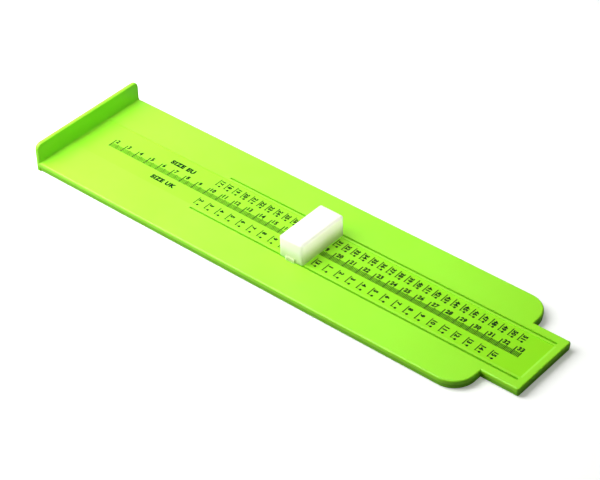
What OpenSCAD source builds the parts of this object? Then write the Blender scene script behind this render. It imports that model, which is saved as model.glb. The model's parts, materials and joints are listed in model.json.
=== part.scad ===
// Foot measuring device: a moulded board with a heel stop, and a white slider
// whose legs run in two long slots. The slider's heel-side face is the pointer.
// The origin is under the middle of the board, on the surface it stands on.
// +X runs from the heel stop to the tab, +Z is up. Sizes are in millimetres.

/* [Board] */
// Distance from the heel stop's inner face to the end of the tab
board_reach = 351.3; // [346:0.1:356]
// Width of the board
board_w = 90; // [84:0.5:100]
// Height of the board, from the surface it stands on to its top face
board_h = 6; // [5:0.1:7]
// Radius of the two large corners at the toe end
toe_corner_r = 15; // [8:0.5:18]
// Distance from the heel stop's inner face to the shoulders beside the tab
shoulder_x = 326; // [322:0.5:330]
// Width of the tab
tab_w = 50.5; // [48:0.5:60]
// Radius of the tab's two corners
tab_corner_r = 1.6; // [1:0.1:4]
// Thickness of the plate that the foot stands on
plate_t = 2.4; // [2:0.1:2.8]
// Thickness of the skirt around the underside
skirt_t = 2.2; // [1.6:0.1:2.6]
// Radius of the upper outer edge
top_edge_r = 1; // [0.4:0.1:1.4]
// Height of the parting line around the sides
parting_z = 3.5; // [2.5:0.1:4]
// How far the sides lean in from the parting line down to their foot
foot_draft = 0.45; // [0:0.05:0.6]
// Chamfer of the lower outer edge
foot_chamfer = 0.5; // [0.3:0.1:1]

/* [Heel stop] */
// Height of the heel stop above the board's top face
heel_h = 13.5; // [8:0.5:20]
// Thickness of the heel stop
heel_t = 3; // [2.4:0.1:5]
// Radius of the heel stop's two upper corners, seen from the front
heel_corner_r = 4; // [2:0.5:6]
// Radius of the heel stop's rounded edges
heel_edge_r = 1; // [0.4:0.1:1.1]
// Radius of the fillet where the heel stop meets the board
heel_fillet_r = 0.8; // [0.4:0.1:1.5]

/* [Scale panel and slots] */
// Depth of the sunken panel that carries the printed scales
panel_depth = 0.35; // [0.1:0.05:0.6]
// Width of the sunken panel
panel_w = 32.6; // [28:0.2:33]
// Distance from the heel stop's inner face to the heel end of the slots
slot_x0 = 103; // [90:1:120]
// Distance from the heel stop's inner face to the toe end of the slots
slot_x1 = 346; // [330:0.5:346]
// Distance between the middle lines of the two slots
slot_pitch = 37.2; // [36.8:0.1:37.4]
// Width of each slot
slot_w = 1.4; // [1.35:0.05:1.5]

/* [Ribs] */
// Thickness of the stiffening ribs
rib_t = 1.4; // [1:0.1:2]
// Gap between the ribs and the surface that the board stands on
rib_gap = 0.9; // [0.5:0.1:1.5]
// Number of rib bays along each side of the slider channel
side_bays = 6; // [3:1:9]
// Number of rib bays between the heel stop and the slider channel
heel_bays = 3; // [2:1:5]
// Height of the lips along both edges of each slot, under the plate
lip_h = 1; // [0.6:0.1:1.2]
// Thickness of those lips
lip_t = 1.2; // [0.8:0.1:1.6]

/* [Slider] */
// Place of the slider's middle, from the heel stop's inner face
slider_x = 183.9; // [107:0.1:342]
// Length of the slider along the board
slider_l = 17.8; // [14:0.2:22]
// Width of the slider across the board
slider_w = 38.2; // [37.8:0.1:38.4]
// Height of the slider above the board's top face
slider_h = 14.8; // [10:0.2:18]
// Radius of the slider's rounded edges
slider_r = 1.6; // [0.8:0.1:2.5]
// Thickness of the slider's walls
slider_wall = 1.6; // [1.2:0.1:2.4]
// Width of each leg and of the pad above it
leg_w = 6.5; // [5:0.5:9]
// Thickness of each leg
leg_t = 1.1; // [0.9:0.05:1.15]
// How far each pad stands out from the slider's end face
pad_out = 1.3; // [0.8:0.1:2]
// Height of each pad
pad_h = 2.8; // [2:0.1:4]

/* [Keeper] */
// Length of the keeper bar along the board
keeper_l = 9; // [8:0.5:12]
// Thickness of the keeper bar
keeper_t = 1.2; // [0.9:0.1:1.3]
// How far the keeper bar reaches past each leg
keeper_over = 1.4; // [1:0.1:2]

/* [Hidden] */
$fn = 48;

eps = 0.01;
// Clearances: block over board, pad over board, keeper under the slot lips,
// leg in the keeper's window
block_gap = 0.35;
pad_gap = 0.1;
keeper_gap = 0.15;
window_gap = 0.08;

green = "#a4f03c";
white = "#f7f8f2";

zero_x = heel_t - (board_reach + heel_t) / 2;   // heel stop's inner face
half_w = board_w / 2;
half_tab = tab_w / 2;
plate_z = board_h - plate_t;
guide_in = half_tab - skirt_t;                  // inner face of the guide ribs
channel_x = slot_x0 - 5;                        // heel end of the slider channel
slot_y = slot_pitch / 2;

leg_out = slider_w / 2;                         // outer face of the legs
leg_in = leg_out - leg_t;
keeper_top = plate_z - lip_h - keeper_gap;
keeper_z = keeper_top - keeper_t;
stake_h = 0.55;
stake_over = 0.55;

// ---- shared shapes --------------------------------------------------------

// Section of the skirt. Its outer face stands at x = 0 above the parting line
// and leans in below it, to a chamfered foot.
module skirt_section() {
    polygon([[-skirt_t, 0], [-foot_draft - foot_chamfer, 0],
             [-foot_draft, foot_chamfer], [0, parting_z],
             [0, board_h - top_edge_r], [-top_edge_r, board_h - top_edge_r],
             [-top_edge_r, board_h], [-skirt_t, board_h]]);
    translate([-top_edge_r, board_h - top_edge_r]) circle(top_edge_r);
}

// A straight length of skirt along +X, with its outer face towards +Y
module skirt_run(length) {
    rotate([90, 0, 90]) linear_extrude(length) skirt_section();
}

// A quarter turn of skirt about the Z axis, from +X round to +Y
module skirt_corner(r) {
    rotate_extrude(angle = 90) intersection() {
        translate([r, 0]) skirt_section();
        square([r, board_h]);
    }
}

// Draws its children on both sides of the board
module both_sides() {
    children();
    mirror([0, 1, 0]) children();
}

// Moves its children so that x = 0 is the heel stop's inner face
module from_heel() {
    translate([zero_x, 0, 0]) children();
}

// ---- board ----------------------------------------------------------------

// Plan of the board, drawn in by inset from its outline
module board_plan(inset) {
    corner_x = shoulder_x - toe_corner_r;
    corner_y = half_w - toe_corner_r;
    translate([-heel_t + inset, inset - half_w])
        square([corner_x + heel_t - inset, board_w - 2 * inset]);
    translate([0, -corner_y])
        square([shoulder_x - inset, 2 * corner_y]);
    for (side = [-1, 1]) translate([corner_x, side * corner_y])
        circle(toe_corner_r - inset);
    translate([0, inset - half_tab])
        square([board_reach - inset, tab_w - 2 * inset]);
}

// Skirt along one side, from the heel stop round to the middle of the tab's end
module side_skirt() {
    corner_x = shoulder_x - toe_corner_r;
    corner_y = half_w - toe_corner_r;
    translate([0, half_w, 0]) skirt_run(corner_x);
    translate([corner_x, corner_y, 0]) skirt_corner(toe_corner_r);
    translate([shoulder_x, corner_y, 0]) rotate([0, 0, -90])
        skirt_run(corner_y - half_tab + top_edge_r);
    translate([shoulder_x - top_edge_r, half_tab, 0])
        skirt_run(board_reach - shoulder_x + top_edge_r - tab_corner_r);
    translate([board_reach - tab_corner_r, half_tab - tab_corner_r, 0])
        skirt_corner(tab_corner_r);
    translate([board_reach, half_tab - tab_corner_r, 0]) rotate([0, 0, -90])
        skirt_run(half_tab - tab_corner_r);
}

// Section of the heel stop's rim. Its outer edge lies at x = 0.
module heel_section() {
    translate([-heel_corner_r, 0])
        square([heel_corner_r - heel_edge_r, heel_t]);
    translate([-heel_corner_r, heel_edge_r])
        square([heel_corner_r, heel_t - 2 * heel_edge_r]);
    for (y = [heel_edge_r, heel_t - heel_edge_r])
        translate([-heel_edge_r, y]) circle(heel_edge_r);
}

// Outer part of the heel stop on one side, drawn lying flat: its upright
// edge and its rounded upper corner
module heel_flank(top) {
    straight = top - heel_corner_r;
    translate([half_w, straight, 0]) rotate([90, 0, 0])
        linear_extrude(straight) heel_section();
    translate([half_w - heel_corner_r, straight, 0])
        rotate_extrude(angle = 90) translate([heel_corner_r, 0])
            heel_section();
}

// The heel stop: an upright plate from the underside up, with rounded edges
// and upper corners
module heel_stop() {
    top = board_h + heel_h;
    core_w = board_w - 2 * heel_corner_r;
    translate([-heel_t, 0, 0]) rotate([90, 0, 90]) {
        heel_flank(top);
        mirror([1, 0, 0]) heel_flank(top);
        translate([-core_w / 2, 0, 0])
            cube([core_w, top - heel_corner_r, heel_t]);
        translate([-core_w / 2, top, 0]) rotate([90, 0, 90])
            linear_extrude(core_w) heel_section();
    }
    // The board's sides run on square to the heel stop, under its rounded edge
    both_sides() translate([-heel_edge_r, half_w - skirt_t, 0])
        cube([heel_edge_r, skirt_t, board_h]);
}

// Fillet between the heel stop and the board's top face
module heel_fillet() {
    run = board_w - 2 * heel_edge_r;
    translate([0, -run / 2, board_h]) difference() {
        translate([-eps, 0, -eps])
            cube([heel_fillet_r + eps, run, heel_fillet_r + eps]);
        translate([heel_fillet_r, -1, heel_fillet_r]) rotate([-90, 0, 0])
            cylinder(r = heel_fillet_r, h = run + 2);
    }
}

// One rib, from (x0, y0) to (x1, y1)
module rib(x0, y0, x1, y1) {
    translate([x0, y0, rib_gap])
        cube([x1 - x0, y1 - y0, plate_z - rib_gap + eps]);
}

// Stiffening ribs under the plate. Nothing crosses the slider's channel.
module ribs() {
    inner_w = half_w - skirt_t;
    both_sides() {
        rib(-eps, guide_in, shoulder_x - skirt_t + eps, guide_in + rib_t);
        for (i = [1 : side_bays - 1]) {
            x = channel_x + i * (shoulder_x - channel_x) / side_bays;
            rib(x, guide_in, x + rib_t, inner_w + eps);
        }
    }
    for (i = [1 : heel_bays]) {
        x = i * channel_x / heel_bays - rib_t;
        rib(x, -inner_w - eps, x + rib_t, inner_w + eps);
    }
    // Lips beside the slots carry the keeper
    both_sides() for (y = [slot_y - slot_w / 2 - lip_t, slot_y + slot_w / 2])
        translate([channel_x - eps, y, plate_z - lip_h])
            cube([board_reach - skirt_t - channel_x + 2 * eps, lip_t,
                  lip_h + eps]);
}

module board() {
    color(green) from_heel() difference() {
        union() {
            translate([0, 0, plate_z]) linear_extrude(plate_t - top_edge_r)
                board_plan(skirt_t / 2);
            translate([0, 0, board_h - top_edge_r - eps])
                linear_extrude(top_edge_r + eps) board_plan(top_edge_r);
            both_sides() side_skirt();
            heel_stop();
            heel_fillet();
            ribs();
        }
        // Sunken panel
        translate([heel_fillet_r, -panel_w / 2, board_h - panel_depth])
            cube([slot_x1 - heel_fillet_r, panel_w, panel_depth + 1]);
        // Slots
        both_sides() translate([slot_x0, slot_y - slot_w / 2, 0])
            cube([slot_x1 - slot_x0, slot_w, board_h + 1]);
    }
}

// ---- slider ---------------------------------------------------------------

// A block with rounded upright and upper edges, and a flat underside
module soft_block(l, w, z0, z1, r) {
    hull() for (x = [r - l / 2, l / 2 - r], y = [r - w / 2, w / 2 - r]) {
        translate([x, y, z1 - r]) sphere(r);
        translate([x, y, z0]) cylinder(r = r, h = 1);
    }
}

// Side view of the pad: it tapers into the slider's end face
module pad_section() {
    polygon([[0, 0], [pad_out, 0], [pad_out, pad_h * 0.45],
             [pad_out * 0.75, pad_h * 0.8], [0.15, pad_h], [0, pad_h]]);
}

module slider_block() {
    z0 = board_h + block_gap;
    z1 = board_h + slider_h;
    color(white) from_heel() translate([slider_x, 0, 0]) {
        difference() {
            soft_block(slider_l, slider_w, z0, z1, slider_r);
            translate([slider_wall - slider_l / 2, slider_wall - slider_w / 2,
                       z0 - 1])
                cube([slider_l - 2 * slider_wall, slider_w - 2 * slider_wall,
                      z1 - z0 + 1 - slider_wall]);
        }
        // Web across the middle of the hollow
        translate([-slider_l / 2 + 1, -slider_wall / 2, z0 + 2])
            cube([slider_l - 2, slider_wall, z1 - z0 - 3]);
        both_sides() {
            // Leg, through the slot and the keeper, with a staked head
            translate([-leg_w / 2, leg_in, keeper_z])
                cube([leg_w, leg_t, z0 + pad_h - keeper_z]);
            translate([-leg_w / 2 - stake_over, leg_in - stake_over,
                       keeper_z - stake_h])
                cube([leg_w + 2 * stake_over, leg_t + 2 * stake_over,
                      stake_h]);
            translate([leg_w / 2, leg_out, board_h + pad_gap])
                rotate([90, 0, -90]) linear_extrude(leg_w)
                    mirror([1, 0]) pad_section();
        }
    }
}

module slider_keeper() {
    window_x = leg_w + 2 * window_gap;
    window_y = leg_t + 2 * window_gap;
    reach = leg_out + keeper_over;
    color(white) from_heel() translate([slider_x, 0, 0]) difference() {
        translate([-keeper_l / 2, -reach, keeper_z])
            cube([keeper_l, 2 * reach, keeper_t]);
        both_sides() translate([-window_x / 2, leg_in - window_gap, 0])
            cube([window_x, window_y, board_h]);
    }
}

board();
slider_block();
slider_keeper();
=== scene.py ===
"""Looks of a foot gauge: a lime green moulded board with three printed scales, and a
milky white block that slides along it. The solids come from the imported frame, and this
script gives them their plastic, prints the scales and sets the studio."""

import json
import math

import bmesh
import bpy
from mathutils import Matrix, Vector


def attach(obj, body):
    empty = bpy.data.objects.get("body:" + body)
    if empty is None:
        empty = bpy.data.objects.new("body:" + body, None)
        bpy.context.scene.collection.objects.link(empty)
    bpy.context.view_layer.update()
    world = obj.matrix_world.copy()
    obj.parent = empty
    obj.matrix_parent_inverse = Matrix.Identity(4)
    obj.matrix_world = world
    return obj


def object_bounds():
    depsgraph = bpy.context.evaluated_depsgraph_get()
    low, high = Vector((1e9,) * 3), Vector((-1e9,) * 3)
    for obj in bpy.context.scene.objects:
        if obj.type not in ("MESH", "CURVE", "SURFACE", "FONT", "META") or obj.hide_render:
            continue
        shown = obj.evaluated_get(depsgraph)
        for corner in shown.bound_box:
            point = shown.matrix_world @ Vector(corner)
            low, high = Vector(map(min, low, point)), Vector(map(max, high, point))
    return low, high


bl_info = {
    "name": "Foot Gauge",
    "version": (1, 0, 0),
    "blender": (4, 5, 0),
    "location": "View3D > Sidebar > Foot Gauge",
    "description": "Finishes and prints a foot gauge with a sliding toe block",
    "category": "Object",
}

MM = 0.001
CM = 10 * MM

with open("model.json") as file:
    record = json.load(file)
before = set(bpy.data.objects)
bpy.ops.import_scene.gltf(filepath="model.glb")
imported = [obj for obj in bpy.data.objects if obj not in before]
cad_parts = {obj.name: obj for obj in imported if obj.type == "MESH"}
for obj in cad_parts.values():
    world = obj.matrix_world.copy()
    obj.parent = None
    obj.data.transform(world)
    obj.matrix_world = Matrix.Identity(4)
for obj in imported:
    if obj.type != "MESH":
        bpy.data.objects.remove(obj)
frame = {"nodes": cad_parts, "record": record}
CAD_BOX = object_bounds()
CAD_TOP = CAD_BOX[1][2]


def mount_point(name):
    """Place of one of the record's mounts, in metres."""
    return Vector(next(m["pos_m"] for m in frame["record"]["mounts"] if m["name"] == name))


# the zero of every scale is the heel stop's inner face
ZERO_X = mount_point("heel_contact").x

# a surface counts as lying on a level when it is this near to it
CLOSE = 0.1 * MM
# vertices this near to each other become one
WELD = 0.001 * MM
DOT_SIDES = 20
LETTER_CURVE_STEPS = 3
# width of the camera's sensor, in the millimetres that its lens is given in
SENSOR_W = 36


# ---- settings -------------------------------------------------------------------------


def length(name, description, value):
    """A length property, given in millimetres and kept in metres."""
    return bpy.props.FloatProperty(
        name=name, description=description, default=value * MM, unit="LENGTH", precision=5)


def share(name, description, value):
    """A property for a share, a brightness or another plain number."""
    return bpy.props.FloatProperty(name=name, description=description, default=value)


def count(name, description, value):
    """A whole number, such as a shoe size."""
    return bpy.props.IntProperty(name=name, description=description, default=value)


def tone(name, description, value):
    """A colour property, as sRGB hex."""
    return bpy.props.StringProperty(name=name, description=description, default=value)


class FootGaugeLook(bpy.types.PropertyGroup):
    """Tones of the plastics and the ink, and how the slider's shell lets light through."""

    board_colour: tone("Board", "Colour of the board's plastic at the heel stop", "#A2F436")
    # painted shade: the board's tone deepens towards the tab, over random patches of the mould's flow
    board_deep: tone("Board, deeper", "Slightly deeper tone of the plastic at the tab", "#98EB1A")
    # painted shade: the panel's deeper tone, which grows towards the tab
    panel_colour: tone("Panel", "Colour of the duller scale panel", "#90E408")
    # painted shade on the sides below the parting line
    low_colour: tone("Below the parting", "Deeper tone of the sides below the parting line", "#84DC08")
    # painted highlight on the parting line and at the panel's end
    worn_colour: tone("Worn edges", "Lighter tone of the parting line and the panel's end", "#ACF84A")
    wear: share("Wear", "Share of the lighter tone on the worn edges", 0.6)

    slider_colour: tone("Slider", "Colour of the slider's plastic", "#FFFCF9")
    slider_deep: tone("Slider, deeper", "Slightly deeper tone within it", "#FCFAF4")
    # painted bounce light and shade on the slider's foot and on its pads: the board's green, and less
    # light near the board
    slider_foot: tone("Slider's foot", "Tone of its foot, where the board's green shines in", "#D2DCB8")
    pad_colour: tone("Slider's pads", "Tone of its pads, which stand right above the board", "#C2D29A")
    # depths of the painted bounce light on the slider's foot
    foot_low: length("Foot tone's start", "How far below the slider's top its foot tone is full", 13.4)
    foot_high: length("Foot tone's end", "How far below the slider's top its foot tone ends", 6)

    glow_low: share("Glow below", "Light through the slider's shell at its foot", 0.14)
    glow_high: share("Glow above", "Light through the slider's shell at its top", 0.43)
    glow_start: length("Glow's start", "How far below the slider's top the glow begins", 14)
    glow_full: length("Glow's end", "How far below the slider's top the glow is full", 1.8)
    shadow_light: share("Shadow's light", "Share of light that a wall of the slider lets through", 0.78)

    ink_colour: tone("Ink", "Colour of the printing ink", "#02200A")
    ink_uneven: tone("Uneven ink", "Colour where the ink lies less evenly", "#06380E")
    thin_colour: tone("Thin ink", "Colour of the hairlines, with the green showing through", "#005406")
    thinnest_colour: tone("Thinnest ink", "Colour of the hairlines near the heel stop", "#549814")


class FootGaugeSizes(bpy.types.PropertyGroup):
    """Sizes of the solids that their looks follow, and of the printed scales. Places are
    from the heel stop's inner face, and from the middle of the board."""

    panel_w: length("Panel width", "Width of the scale panel", 32.6)
    panel_z: length("Panel height", "Height of the scale panel above the table", 5.65)
    panel_end: length("Panel end", "Where the panel and the slots end towards the tab", 346)
    # width of the painted highlight past the panel's end
    end_edge_w: length("Panel end's edge", "Width of the worn edge past the panel's end", 1.2)
    parting_z: length("Parting line", "Height of the mould's parting line on the sides", 3.5)
    # width of the painted highlight on the parting line
    parting_w: length("Parting line's width", "Width of the parting line's lighter tone", 0.4)
    block_w: length("Block width", "Width of the slider's block, without its pads", 38.2)

    ink_t: length("Ink thickness", "Height of the ink above the panel", 0.03)
    thin_film: share("Thin film", "Thickness of the hairlines' ink, as a share of the full one", 0.6)
    tick_w: length("Mark width", "Width of the centimetre marks", 0.75)
    size_tick_w: length("Size mark width", "Width of the shoe size marks", 0.6)
    half_w: length("Half mark width", "Width of the half centimetre marks", 0.7)
    fine_w: length("Fine mark width", "Width of the millimetre marks", 0.64)

    cm_foot: length("Centimetre marks' foot", "Where every mark of the cm scale starts", -3.95)
    cm_top: length("Centimetre marks' top", "Where the centimetre marks end", 3.4)
    half_top: length("Half marks' top", "Where the half centimetre marks end", 0.4)
    mm_top: length("Millimetre marks' top", "Where the millimetre marks end", -0.05)
    cm_first: count("First centimetre", "First number of the centimetre scale", 2)
    cm_last: count("Last centimetre", "Last number of the centimetre scale", 33)
    cm_tail: length("Scale's tail", "Length of the scale past its last number", 5)
    cm_digit_h: length("Centimetre digits", "Height of the centimetre digits", 3.5)
    cm_digit_x: length("Digits after mark", "Gap from a mark to its digits", 1.25)
    cm_digit_y: length("Digits' foot", "Where the centimetre digits stand", 0.75)

    size_tick: length("Size mark", "Length of a shoe size mark", 6.8)
    size_digit_h: length("Size digits", "Height of the shoe size digits", 3.2)
    size_digit_x: length("Size digits after mark", "Gap from a mark to its digits", 0.8)
    size_digit_drop: length("Size digits' drop", "How far a mark reaches past its digits", 0.9)
    dot_r: length("Dot radius", "Radius of the dot of a shoe size mark", 0.8)
    dot_x: length("Dot after mark", "Distance from a mark to its dot", 2.95)
    dot_rise: length("Dot's rise", "Height of the dot and its line above the mark's foot", 0.4)
    lead_w: length("Lead width", "Width of the line from a mark to its dot", 0.25)

    digit_weight: share("Digit weight", "How bold the digits are", 0.058)
    digit_gap: share("Digit spacing", "Spacing of the digits as a share of the font's", 1.1)
    digit_narrow: share("Digit width", "Width of the cm digits as a share of the font's", 0.9)

    eu_first: count("First EU size", "First number of the EU scale", 17)
    eu_last: count("Last EU size", "Last number of the EU scale", 51)
    eu_start: length("First EU mark", "Place of the first EU mark", 100)
    eu_pitch: length("EU pitch", "Two thirds of a centimetre", 20 / 3)
    eu_foot: length("EU marks' foot", "Where the EU marks end towards the cm scale", 7.6)

    uk_child_first: count("First UK size", "First number of the UK children's sizes", 2)
    uk_child_last: count("Last UK children's size", "After it the count starts again at 1", 13)
    uk_adult_last: count("Last UK size", "Last number of the UK adults' sizes", 15)
    uk_start: length("First UK mark", "Place of the first UK mark", 101.6)
    uk_pitch: length("UK pitch", "A third of an inch", 25.4 / 3)
    uk_foot: length("UK marks' foot", "Where the UK marks end towards the edge", -14.05)

    heading_x: length("Headings' start", "Place of the first letter of the headings", 62.6)
    heading_h: length("Heading height", "Height of the heading letters", 3.9)
    heading_w: length("Heading width", "Length of a heading", 19.6)
    heading_weight: share("Heading weight", "How bold the headings are", 0.07)
    heading_gap: share("Heading spacing", "Spacing of the letters as a share of the font's", 1.15)
    eu_heading_y: length("EU heading", "Where the EU heading stands", 6.9)
    uk_heading_y: length("UK heading", "Where the UK heading stands", -11.6)


class FootGaugeStudio(bpy.types.PropertyGroup):
    """Paper ground, even light and camera."""

    paper_w: length("Paper", "Width of the paper ground", 6000)
    paper_colour: tone("Paper's colour", "Colour of the paper that lights the object", "#8C8C8C")
    paper_lift: share("Paper's lift", "Brightness of the paper that the camera sees", 0.85)
    paper_glow: share("Shadow's lift", "Brightness of the paper in the deepest shadow", 0.3)
    shadow_tint: tone("Shadow's tint", "Tint of the paper in the board's shadow", "#FAFFF3")
    under_inset: length("Dark strip's ends", "How far the unlifted paper stays within the board", 3)
    under_margin: length("Dark strip's sides", "How far it reaches past the panel's sides", 5)
    sky: share("Sky", "Strength of the even light", 0.08)
    camera_place: bpy.props.FloatVectorProperty(
        name="Camera place", description="Place of the camera", size=3, subtype="TRANSLATION",
        default=(0.6264, -0.7158, 0.7717))
    camera_turn: bpy.props.FloatVectorProperty(
        name="Camera turn", description="Pitch, roll and heading of the camera", size=3,
        subtype="EULER", default=[math.radians(angle) for angle in (51.108, 1.111, 40.271)])
    lens: bpy.props.FloatProperty(
        name="Lens", description="Focal length, in mm", default=123.6, unit="CAMERA")


def looks():
    """The settings of the tones."""
    return bpy.context.scene.foot_gauge_look


def sizes():
    """The settings of the solids and the printing."""
    return bpy.context.scene.foot_gauge_sizes


def studio():
    """The settings of the paper, the light and the camera."""
    return bpy.context.scene.foot_gauge_studio


# ---- nodes ----------------------------------------------------------------------------


def linear(hex_colour):
    """A colour written as sRGB hex, as linear RGBA."""
    channels = [int(hex_colour[i:i + 2], 16) / 255 for i in (1, 3, 5)]
    return [c / 12.92 if c <= 0.04045 else ((c + 0.055) / 1.055) ** 2.4 for c in channels] + [1.0]


def add(tree, kind, feeds=None, **options):
    """Adds a node and returns its outputs. feeds gives its inputs by name or number, each as
    a value, as another node's output, or as a list of such outputs."""
    node = tree.nodes.new(kind)
    for name, value in options.items():
        setattr(node, name, value)
    for key, value in (feeds or {}).items():
        sources = value if isinstance(value, list) else [value]
        if not isinstance(sources[0], bpy.types.NodeSocket):
            node.inputs[key].default_value = value
            continue
        for source in sources:
            tree.links.new(source, node.inputs[key])
    return node.outputs


def new_material(name):
    """An empty material, with its node tree and the object coordinates in metres."""
    material = bpy.data.materials.new(name)
    material.use_nodes = True
    tree = material.node_tree
    tree.nodes.clear()
    return material, tree, add(tree, "ShaderNodeTexCoord")["Object"]


def patches(tree, place, across, low, high, detail=2.0):
    """Soft patches about across metres wide, with values from low to high. The noise stays
    around a half, and is spread from there."""
    noise = add(tree, "ShaderNodeTexNoise", {"Vector": place, "Scale": 1 / across, "Detail": detail})
    return add(tree, "ShaderNodeMapRange", {
        "Value": noise["Fac"], "From Min": 0.3, "From Max": 0.7, "To Min": low, "To Max": high,
    })["Result"]


def mould_grain(tree, place, across, strength):
    """Normals of a moulded surface, whose faint grain breaks up the highlight. The real
    grain is about 0.25 mm wide, and across is wider so that it shows."""
    noise = add(tree, "ShaderNodeTexNoise", {"Vector": place, "Scale": 1 / across, "Detail": 1})
    return add(tree, "ShaderNodeBump", {
        "Height": noise["Fac"], "Strength": strength, "Distance": 0.02 * MM})["Normal"]


def inside(tree, place, x=None, y=None, z=None):
    """One between the limits given, each a pair of places along its axis, and zero
    elsewhere."""
    axes = add(tree, "ShaderNodeSeparateXYZ", {0: place})
    found = 1.0
    for axis, limits in (("X", x), ("Y", y), ("Z", z)):
        if limits:
            low, high = limits
            between = add(tree, "ShaderNodeMath", {
                0: axes[axis], 1: (low + high) / 2, 2: (high - low) / 2}, operation="COMPARE")[0]
            found = add(tree, "ShaderNodeMath", {0: found, 1: between}, operation="MULTIPLY")[0]
    return found


def layered(tree, first, layers):
    """Lays tones over a first one in turn. layers gives each one's share and its sRGB hex."""
    colour = linear(first)
    for part, hex_colour in layers:
        colour = add(tree, "ShaderNodeMix", {
            0: part, 6: colour, 7: linear(hex_colour)}, data_type="RGBA")[2]
    return colour


def along_board(tree, place, heel, toe):
    """Goes from the value heel at the heel stop to toe at the end of the scales."""
    axes = add(tree, "ShaderNodeSeparateXYZ", {0: place})
    return add(tree, "ShaderNodeMapRange", {
        "Value": axes["X"], "From Min": ZERO_X, "From Max": ZERO_X + sizes().panel_end,
        "To Min": heel, "To Max": toe})["Result"]


def below_top(tree, place, start, end, low, high):
    """Goes from the value low at start metres below the slider's top to high at end."""
    axes = add(tree, "ShaderNodeSeparateXYZ", {0: place})
    return add(tree, "ShaderNodeMapRange", {
        "Value": axes["Z"], "From Min": CAD_TOP - start, "From Max": CAD_TOP - end,
        "To Min": low, "To Max": high})["Result"]


# ---- materials ------------------------------------------------------------------------


def lime_abs():
    """Injection moulded ABS, coloured through: even satin gloss from a polished mould, a
    slightly waxy depth, and a faint grain. Painted shade deepens it towards the tab and on
    the sides below the parting line. The panel that is printed on comes from a duller part
    of the mould, and is duller the more towards the tab, where painted shade also deepens
    its tone. The parting line and the edge at the panel's end get a painted highlight."""
    tones = looks()
    p = sizes()
    half_panel = p.panel_w / 2
    end_x = ZERO_X + p.panel_end
    material, tree, place = new_material("lime_abs_moulded")
    # painted shade that deepens the board towards the tab, over random patches of the mould's flow
    towards_tab = along_board(tree, place, 0.1, 0.9)
    flow = patches(tree, place, 45 * MM, -0.15, 0.15, detail=3)
    tone_and_falloff_shade = add(tree, "ShaderNodeMath", {0: flow, 1: towards_tab}, operation="ADD")[0]
    # the panel is duller, and in painted shade deeper in tone, the more towards the tab
    panel = inside(
        tree, place, y=(-half_panel - CLOSE, half_panel + CLOSE), z=(p.panel_z - CLOSE, p.panel_z + CLOSE))
    dull_and_shade = add(tree, "ShaderNodeMath", {0: panel, 1: towards_tab}, operation="MULTIPLY")[0]
    # painted shade on the sides below the parting line
    low = inside(tree, place, z=(-CLOSE, p.parting_z))
    # painted highlight on the parting line and at the panel's end
    parting = inside(tree, place, z=(p.parting_z - p.parting_w / 2, p.parting_z + p.parting_w / 2))
    end = inside(tree, place, x=(end_x, end_x + p.end_edge_w), y=(-half_panel, half_panel))
    painted_highlight = add(tree, "ShaderNodeMath", {0: parting, 1: end}, operation="MAXIMUM")[0]
    painted_highlight = add(tree, "ShaderNodeMath", {0: painted_highlight, 1: tones.wear}, operation="MULTIPLY")[0]
    colour = layered(tree, tones.board_colour, (
        (tone_and_falloff_shade, tones.board_deep), (dull_and_shade, tones.panel_colour),
        (low, tones.low_colour), (painted_highlight, tones.worn_colour)))
    gloss = patches(tree, place, 12 * MM, 0.40, 0.46)
    shader = add(tree, "ShaderNodeBsdfPrincipled", {
        "Base Color": colour,
        "Roughness": add(
            tree, "ShaderNodeMath", {0: dull_and_shade, 1: 0.12, 2: gloss}, operation="MULTIPLY_ADD")[0],
        "IOR": 1.46,
        "Specular IOR Level": add(
            tree, "ShaderNodeMath", {0: dull_and_shade, 1: -0.25, 2: 0.5}, operation="MULTIPLY_ADD")[0],
        "Subsurface Weight": 0.2,
        "Subsurface Radius": (0.35, 1.0, 0.1),
        "Subsurface Scale": 3.0 * MM,
        "Normal": mould_grain(tree, place, 0.6 * MM, 0.12),
    })
    add(tree, "ShaderNodeOutputMaterial", {"Surface": shader["BSDF"]})
    return material


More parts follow.
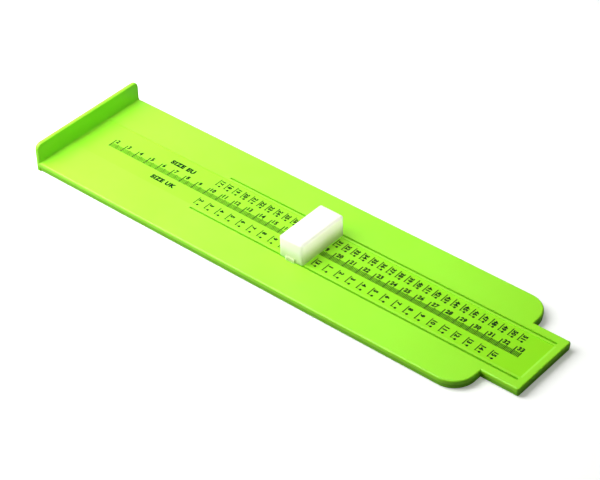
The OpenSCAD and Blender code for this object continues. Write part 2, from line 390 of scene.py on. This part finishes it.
def milky_polypropylene():
    """Natural white polypropylene, moulded as a thin shell. Light scatters in it and comes
    through it, the more the higher up, so its shaded faces glow from the top down and its
    shadow is a light one. Its foot and its pads get painted bounce light and shade: the
    green of the board, and less light, where they stand near it."""
    tones = looks()
    half_block = sizes().block_w / 2 + CLOSE
    material, tree, place = new_material("milky_polypropylene")
    cloud = patches(tree, place, 9 * MM, 0, 1)
    # painted bounce light and shade: the board's green on the slider's foot and on its pads
    foot = below_top(tree, place, tones.foot_low, tones.foot_high, 1, 0)
    block = inside(tree, place, y=(-half_block, half_block))
    pads = add(tree, "ShaderNodeMath", {0: 1.0, 1: block}, operation="SUBTRACT")[0]
    colour = layered(tree, tones.slider_colour, (
        (cloud, tones.slider_deep), (foot, tones.slider_foot), (pads, tones.pad_colour)))
    shell = add(tree, "ShaderNodeBsdfPrincipled", {
        "Base Color": colour,
        "Roughness": patches(tree, place, 5 * MM, 0.38, 0.48),
        "IOR": 1.49,
        "Subsurface Weight": 1.0,
        "Subsurface Radius": (1.0, 1.0, 0.9),
        "Subsurface Scale": 3.0 * MM,
        "Normal": mould_grain(tree, place, 0.5 * MM, 0.1),
    })["BSDF"]
    # light comes nearly level through a wall, also where its top edge rounds off
    outward = add(tree, "ShaderNodeNewGeometry")["Normal"]
    level = add(tree, "ShaderNodeVectorMath", {0: outward, 1: (1, 1, 0.3)}, operation="MULTIPLY")[0]
    level = add(tree, "ShaderNodeVectorMath", {0: level}, operation="NORMALIZE")[0]
    through = add(tree, "ShaderNodeBsdfTranslucent", {"Color": colour, "Normal": level})["BSDF"]
    glow = below_top(tree, place, tones.glow_start, tones.glow_full, tones.glow_low, tones.glow_high)
    milky = add(tree, "ShaderNodeMixShader", {0: glow, 1: shell, 2: through})[0]
    clear = add(tree, "ShaderNodeBsdfTransparent", {"Color": linear(tones.slider_colour)})["BSDF"]
    shadow_ray = add(tree, "ShaderNodeLightPath")["Is Shadow Ray"]
    lit = add(
        tree, "ShaderNodeMath", {0: shadow_ray, 1: tones.shadow_light}, operation="MULTIPLY")[0]
    surface = add(tree, "ShaderNodeMixShader", {0: lit, 1: milky, 2: clear})[0]
    add(tree, "ShaderNodeOutputMaterial", {"Surface": surface})
    return material


def pad_printing_ink(thin=False):
    """Pad printing ink, matt and a little uneven, which every print shares. In the hairlines
    its film is so thin that the green comes through, most of all towards the heel stop."""
    name = "pad_printing_ink_thin" if thin else "pad_printing_ink"
    if name in bpy.data.materials:
        return bpy.data.materials[name]
    tones = looks()
    material, tree, place = new_material(name)
    if thin:
        patch_w = 4 * MM
        film = along_board(tree, place, 0, 1)
        colour = layered(tree, tones.thinnest_colour, [(film, tones.thin_colour)])
    else:
        patch_w = 1.5 * MM
        uneven = patches(tree, place, patch_w, 0, 1)
        colour = layered(tree, tones.ink_colour, [(uneven, tones.ink_uneven)])
    shader = add(tree, "ShaderNodeBsdfPrincipled", {
        "Base Color": colour,
        "Roughness": patches(tree, place, patch_w, 0.6, 0.7),
        "IOR": 1.2,
    })
    add(tree, "ShaderNodeOutputMaterial", {"Surface": shader["BSDF"]})
    return material


def studio_paper():
    """Matt white paper. What the camera sees of it is brighter than what lights the
    object, so the ground goes white and still keeps a light shadow. Right under the board,
    where it shows through the slots, it stays as dark as it is."""
    stage = studio()
    reach_x = CAD_BOX[1][0] - stage.under_inset
    reach_y = sizes().panel_w / 2 + stage.under_margin
    material, tree, place = new_material("studio_paper")
    under = inside(tree, place, x=(-reach_x, reach_x), y=(-reach_y, reach_y))
    open_paper = add(tree, "ShaderNodeMath", {0: 1.0, 1: under}, operation="SUBTRACT")[0]
    camera_ray = add(tree, "ShaderNodeLightPath")["Is Camera Ray"]
    seen = add(tree, "ShaderNodeMath", {0: camera_ray, 1: open_paper}, operation="MULTIPLY")[0]
    lifted = [stage.paper_lift] * 3 + [1.0]
    colour = add(tree, "ShaderNodeMix", {
        0: seen, 6: linear(stage.paper_colour), 7: lifted}, data_type="RGBA")[2]
    paper = add(tree, "ShaderNodeBsdfDiffuse", {"Color": colour})["BSDF"]
    strength = add(
        tree, "ShaderNodeMath", {0: seen, 1: stage.paper_glow}, operation="MULTIPLY")[0]
    glow = add(tree, "ShaderNodeEmission", {
        "Color": linear(stage.shadow_tint), "Strength": strength})["Emission"]
    surface = add(tree, "ShaderNodeAddShader", {0: paper, 1: glow})["Shader"]
    add(tree, "ShaderNodeOutputMaterial", {"Surface": surface})
    return material


# ---- printing -------------------------------------------------------------------------


def mark_row_tree():
    """Geometry Nodes: a row of like marks along +X. Each is a bar across the row, with a
    lead line from one end to a dot, or none where the dot has no radius."""
    tree = bpy.data.node_groups.new("printed_mark_row", "GeometryNodeTree")
    tree.interface.new_socket("Geometry", in_out="OUTPUT", socket_type="NodeSocketGeometry")
    kinds = {
        "Count": "NodeSocketInt", "Pitch": "NodeSocketFloat", "First mark": "NodeSocketVector",
        "Bar size": "NodeSocketVector", "Lead size": "NodeSocketVector",
        "Lead place": "NodeSocketVector", "Dot radius": "NodeSocketFloat",
        "Dot height": "NodeSocketFloat", "Dot place": "NodeSocketVector",
        "Ink": "NodeSocketMaterial",
    }
    for name, kind in kinds.items():
        tree.interface.new_socket(name, in_out="INPUT", socket_type=kind)
    given = add(tree, "NodeGroupInput")
    step = add(tree, "ShaderNodeCombineXYZ", {"X": given["Pitch"]})[0]
    row = add(tree, "GeometryNodeMeshLine", {
        "Count": given["Count"], "Start Location": given["First mark"], "Offset": step,
    }, mode="OFFSET")["Mesh"]
    bar = add(tree, "GeometryNodeMeshCube", {"Size": given["Bar size"]})["Mesh"]
    lead = add(tree, "GeometryNodeMeshCube", {"Size": given["Lead size"]})["Mesh"]
    dot = add(tree, "GeometryNodeMeshCylinder", {
        "Vertices": DOT_SIDES, "Radius": given["Dot radius"], "Depth": given["Dot height"]})["Mesh"]
    moved_lead = add(tree, "GeometryNodeTransform", {
        "Geometry": lead, "Translation": given["Lead place"]})["Geometry"]
    moved_dot = add(tree, "GeometryNodeTransform", {
        "Geometry": dot, "Translation": given["Dot place"]})["Geometry"]
    has_dot = add(tree, "FunctionNodeCompare", {
        "A": given["Dot radius"], "B": 0.0}, operation="GREATER_THAN")["Result"]
    foot = add(tree, "GeometryNodeJoinGeometry", {"Geometry": [moved_lead, moved_dot]})["Geometry"]
    chosen = add(tree, "GeometryNodeSwitch", {
        "Switch": has_dot, "True": foot}, input_type="GEOMETRY")["Output"]
    mark = add(tree, "GeometryNodeJoinGeometry", {"Geometry": [bar, chosen]})["Geometry"]
    placed = add(tree, "GeometryNodeInstanceOnPoints", {
        "Points": row, "Instance": mark})["Instances"]
    real = add(tree, "GeometryNodeRealizeInstances", {"Geometry": placed})["Geometry"]
    inked = add(tree, "GeometryNodeSetMaterial", {
        "Geometry": real, "Material": given["Ink"]})["Geometry"]
    add(tree, "NodeGroupOutput", {"Geometry": inked})
    return tree


def plain_mesh(item):
    """Turns an object into the mesh that it evaluates to, and removes the object."""
    bpy.context.scene.collection.objects.link(item)
    graph = bpy.context.evaluated_depsgraph_get()
    mesh = bpy.data.meshes.new_from_object(item.evaluated_get(graph))
    bpy.data.objects.remove(item)
    return mesh


def mark_row(values):
    """One row of marks as a plain mesh. values are the tree's inputs by name."""
    tree = bpy.data.node_groups.get("printed_mark_row") or mark_row_tree()
    carrier = bpy.data.objects.new("mark_row", bpy.data.meshes.new("mark_row"))
    modifier = carrier.modifiers.new("marks", "NODES")
    modifier.node_group = tree
    for item in tree.interface.items_tree:
        if item.in_out == "INPUT" and item.name in values:
            modifier[item.identifier] = values[item.name]
    return plain_mesh(carrier)


def bar_values(marks, pitch, x, y0, y1, width, thin=False):
    """Inputs of a plain row of bars from y0 to y1, the first one at x from the zero. thin
    gives them the hairlines' ink."""
    p = sizes()
    film_t = p.ink_t * (p.thin_film if thin else 1)
    return {
        "Count": marks, "Pitch": pitch,
        "First mark": (ZERO_X + x, (y0 + y1) / 2, p.panel_z + film_t / 2),
        "Bar size": (width, y1 - y0, film_t), "Dot radius": 0.0, "Ink": pad_printing_ink(thin),
    }


def size_row_values(marks, pitch, x, foot):
    """Inputs of a row of shoe size marks: a bar, and a lead from its foot to a dot."""
    p = sizes()
    values = bar_values(marks, pitch, x, foot, foot + p.size_tick, p.size_tick_w)
    low = p.dot_rise - p.size_tick / 2
    values.update({
        "Lead size": (p.dot_x, p.lead_w, p.ink_t), "Lead place": (p.dot_x / 2, low, 0),
        "Dot radius": p.dot_r, "Dot height": p.ink_t,
        "Dot place": (p.dot_x, low, 0),
    })
    return values


def lettering(text, height, weight, spacing, width=None, narrow=1.0):
    """Text as a thin solid mesh that stands on the origin, height metres high. weight makes
    it bolder, as a share of its size, and spacing sets the gaps between letters. width
    stretches it to a length, and narrow sets a narrower letter."""
    curve = bpy.data.curves.new("lettering", "FONT")
    curve.body = text
    curve.resolution_u = LETTER_CURVE_STEPS
    # half a unit each way, which the transform below turns into the ink's thickness
    curve.extrude = 0.5
    # a bevel makes strokes bolder without the crossing outlines that an offset gives
    curve.bevel_depth = weight
    curve.bevel_resolution = 0
    curve.space_character = spacing
    mesh = plain_mesh(bpy.data.objects.new("lettering", curve))
    xs = [v.co.x for v in mesh.vertices]
    ys = [v.co.y for v in mesh.vertices]
    scale_y = height / (max(ys) - min(ys))
    scale_x = width / (max(xs) - min(xs)) if width else narrow * scale_y
    to_size = Matrix.Diagonal((scale_x, scale_y, sizes().ink_t, 1))
    mesh.transform(to_size @ Matrix.Translation((-min(xs), -min(ys), 0)))
    return mesh


def on_panel(x, y):
    """A move onto the panel, x from the zero and y from the middle, for a film of ink."""
    p = sizes()
    return Matrix.Translation((ZERO_X + x, y, p.panel_z + p.ink_t / 2))


def cm_number(number):
    """A number of the centimetre scale, just past its mark."""
    p = sizes()
    mesh = lettering(
        str(number), p.cm_digit_h, p.digit_weight, p.digit_gap, narrow=p.digit_narrow)
    mesh.transform(on_panel(number * CM + p.cm_digit_x, p.cm_digit_y))
    return mesh


def size_number(number, x, foot):
    """A shoe size number, which reads across the board from its far side."""
    p = sizes()
    mesh = lettering(str(number), p.size_digit_h, p.digit_weight, p.digit_gap)
    place = on_panel(x + p.size_digit_x, foot + p.size_tick - p.size_digit_drop)
    mesh.transform(place @ Matrix.Rotation(math.radians(-90), 4, "Z"))
    return mesh


def heading(text, y):
    """A heading over one of the shoe size scales."""
    p = sizes()
    mesh = lettering(text, p.heading_h, p.heading_weight, p.heading_gap, width=p.heading_w)
    mesh.transform(on_panel(p.heading_x, y))
    return mesh


def printed_piece(name, meshes, thin=False):
    """Joins meshes into one printed piece that rides on the board."""
    solid = bmesh.new()
    for mesh in meshes:
        solid.from_mesh(mesh)
        bpy.data.meshes.remove(mesh)
    bmesh.ops.remove_doubles(solid, verts=solid.verts, dist=WELD)
    bmesh.ops.recalc_face_normals(solid, faces=solid.faces)
    joined = bpy.data.meshes.new(name)
    solid.to_mesh(joined)
    solid.free()
    joined.materials.clear()
    joined.materials.append(pad_printing_ink(thin))
    piece = bpy.data.objects.new(name, joined)
    bpy.context.scene.collection.objects.link(piece)
    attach(piece, "board")


def print_sizes(scale, numbers, start, pitch, foot, heading_y):
    """Prints a shoe size scale: its marks, its numbers and its heading."""
    printed_piece(
        f"{scale}_size_marks", [mark_row(size_row_values(len(numbers), pitch, start, foot))])
    printed_piece(f"{scale}_size_numbers", [
        size_number(number, start + i * pitch, foot) for i, number in enumerate(numbers)])
    printed_piece(f"{scale}_heading", [heading(f"SIZE {scale.upper()}", heading_y)])


class FOOTGAUGE_OT_print_centimetres(bpy.types.Operator):
    """Prints the centimetre scale along the middle of the panel"""

    bl_idname = "foot_gauge.print_centimetres"
    bl_label = "Centimetre scale"

    def execute(self, context):
        p = sizes()
        start = p.cm_first * CM
        long_marks = p.cm_last - p.cm_first + 1
        printed_piece("centimetre_marks", [
            mark_row(bar_values(long_marks, CM, start, p.cm_foot, p.cm_top, p.tick_w))])
        # the film of these is thin, so the centimetre marks lie on top of them
        scale_mm = round(((p.cm_last - p.cm_first) * CM + p.cm_tail) / MM)
        rows = ((5, p.half_top, p.half_w), (1, p.mm_top, p.fine_w))
        printed_piece("millimetre_marks", [
            mark_row(bar_values(
                scale_mm // step + 1, step * MM, start, p.cm_foot, top, width, thin=True))
            for step, top, width in rows], thin=True)
        printed_piece("centimetre_numbers", [
            cm_number(number) for number in range(p.cm_first, p.cm_last + 1)])
        return {"FINISHED"}


class FOOTGAUGE_OT_print_eu_sizes(bpy.types.Operator):
    """Prints the EU shoe size scale on the far side of the panel"""

    bl_idname = "foot_gauge.print_eu_sizes"
    bl_label = "EU shoe sizes"

    def execute(self, context):
        p = sizes()
        numbers = range(p.eu_first, p.eu_last + 1)
        print_sizes("eu", numbers, p.eu_start, p.eu_pitch, p.eu_foot, p.eu_heading_y)
        return {"FINISHED"}


class FOOTGAUGE_OT_print_uk_sizes(bpy.types.Operator):
    """Prints the UK shoe size scale, children's sizes and then adults', on the near side"""

    bl_idname = "foot_gauge.print_uk_sizes"
    bl_label = "UK shoe sizes"

    def execute(self, context):
        p = sizes()
        numbers = [*range(p.uk_child_first, p.uk_child_last + 1), *range(1, p.uk_adult_last + 1)]
        print_sizes("uk", numbers, p.uk_start, p.uk_pitch, p.uk_foot, p.uk_heading_y)
        return {"FINISHED"}


# ---- plastics -------------------------------------------------------------------------


def dress(node, material):
    """Gives a solid of the frame its material."""
    frame["nodes"][node].material_slots[0].material = material


class FOOTGAUGE_OT_finish_board(bpy.types.Operator):
    """Gives the board its lime green plastic"""

    bl_idname = "foot_gauge.finish_board"
    bl_label = "Board"

    def execute(self, context):
        dress("board", lime_abs())
        return {"FINISHED"}


class FOOTGAUGE_OT_finish_slider(bpy.types.Operator):
    """Gives the slider's block and its keeper their milky white plastic"""

    bl_idname = "foot_gauge.finish_slider"
    bl_label = "Slider"

    def execute(self, context):
        material = milky_polypropylene()
        for node in ("slider_block", "slider_keeper"):
            dress(node, material)
        return {"FINISHED"}


# ---- stage ----------------------------------------------------------------------------


def soft_lamp(name, place, aim, size, watts):
    """A square soft box that points at aim."""
    light = bpy.data.lights.new(name, "AREA")
    light.shape = "SQUARE"
    light.size = size
    light.energy = watts
    lamp = bpy.data.objects.new(name, light)
    lamp.location = place
    lamp.rotation_euler = (Vector(aim) - Vector(place)).to_track_quat("-Z", "Y").to_euler()
    bpy.context.scene.collection.objects.link(lamp)


class FOOTGAUGE_OT_set_stage(bpy.types.Operator):
    """Sets the paper ground, the soft boxes, the even light and the camera"""

    bl_idname = "foot_gauge.set_stage"
    bl_label = "Stage"

    def execute(self, context):
        stage = studio()
        scene = context.scene
        half = stage.paper_w / 2
        paper = bpy.data.meshes.new("paper_ground")
        corners = [(-half, -half, 0), (half, -half, 0), (half, half, 0), (-half, half, 0)]
        paper.from_pydata(corners, [], [(0, 1, 2, 3)])
        paper.materials.append(studio_paper())
        ground = bpy.data.objects.new("paper_ground", paper)
        scene.collection.objects.link(ground)

        world = bpy.data.worlds.new("even_light")
        world.use_nodes = True
        sky = world.node_tree.nodes["Background"].inputs
        sky["Color"].default_value = (1, 1, 1, 1)
        sky["Strength"].default_value = stage.sky
        scene.world = world

        # all three stand to the heel stop's side, so the board darkens towards its tab
        soft_lamp(
            "heel_side_box", place=(-0.40, -0.25, 0.42), aim=(-0.14, 0, 0), size=0.62, watts=6.75)
        soft_lamp(
            "overhead_box", place=(-0.14, 0, 0.62), aim=(-0.14, 0, 0), size=0.3, watts=1.8)
        soft_lamp(
            "far_card", place=(-0.85, 0.85, 0.95), aim=(-0.20, 0, 0), size=0.7, watts=1.5)

        camera = bpy.data.objects.new("camera", bpy.data.cameras.new("camera"))
        camera.data.lens = stage.lens
        camera.data.sensor_width = SENSOR_W
        camera.data.sensor_fit = "HORIZONTAL"
        camera.location = stage.camera_place
        camera.rotation_euler = stage.camera_turn
        scene.collection.objects.link(camera)
        scene.camera = camera
        scene.view_settings.view_transform = "Standard"
        return {"FINISHED"}


# ---- add-on ---------------------------------------------------------------------------

STEPS = (
    FOOTGAUGE_OT_set_stage,
    FOOTGAUGE_OT_finish_board,
    FOOTGAUGE_OT_finish_slider,
    FOOTGAUGE_OT_print_centimetres,
    FOOTGAUGE_OT_print_eu_sizes,
    FOOTGAUGE_OT_print_uk_sizes,
)


class FOOTGAUGE_PT_steps(bpy.types.Panel):
    """Lists the steps that dress the foot gauge"""

    bl_label = "Foot Gauge"
    bl_idname = "FOOTGAUGE_PT_steps"
    bl_space_type = "VIEW_3D"
    bl_region_type = "UI"
    bl_category = "Foot Gauge"

    def draw(self, context):
        for step in STEPS:
            self.layout.operator(step.bl_idname)


GROUPS = {
    "foot_gauge_look": FootGaugeLook,
    "foot_gauge_sizes": FootGaugeSizes,
    "foot_gauge_studio": FootGaugeStudio,
}


def register():
    for name, group in GROUPS.items():
        bpy.utils.register_class(group)
        setattr(bpy.types.Scene, name, bpy.props.PointerProperty(type=group))
    for cls in (*STEPS, FOOTGAUGE_PT_steps):
        bpy.utils.register_class(cls)


def unregister():
    for cls in (FOOTGAUGE_PT_steps, *reversed(STEPS)):
        bpy.utils.unregister_class(cls)
    for name, group in GROUPS.items():
        delattr(bpy.types.Scene, name)
        bpy.utils.unregister_class(group)


def main():
    register()
    for step in STEPS:
        group, name = step.bl_idname.split(".")
        getattr(getattr(bpy.ops, group), name)()


if __name__ == "__main__":
    main()
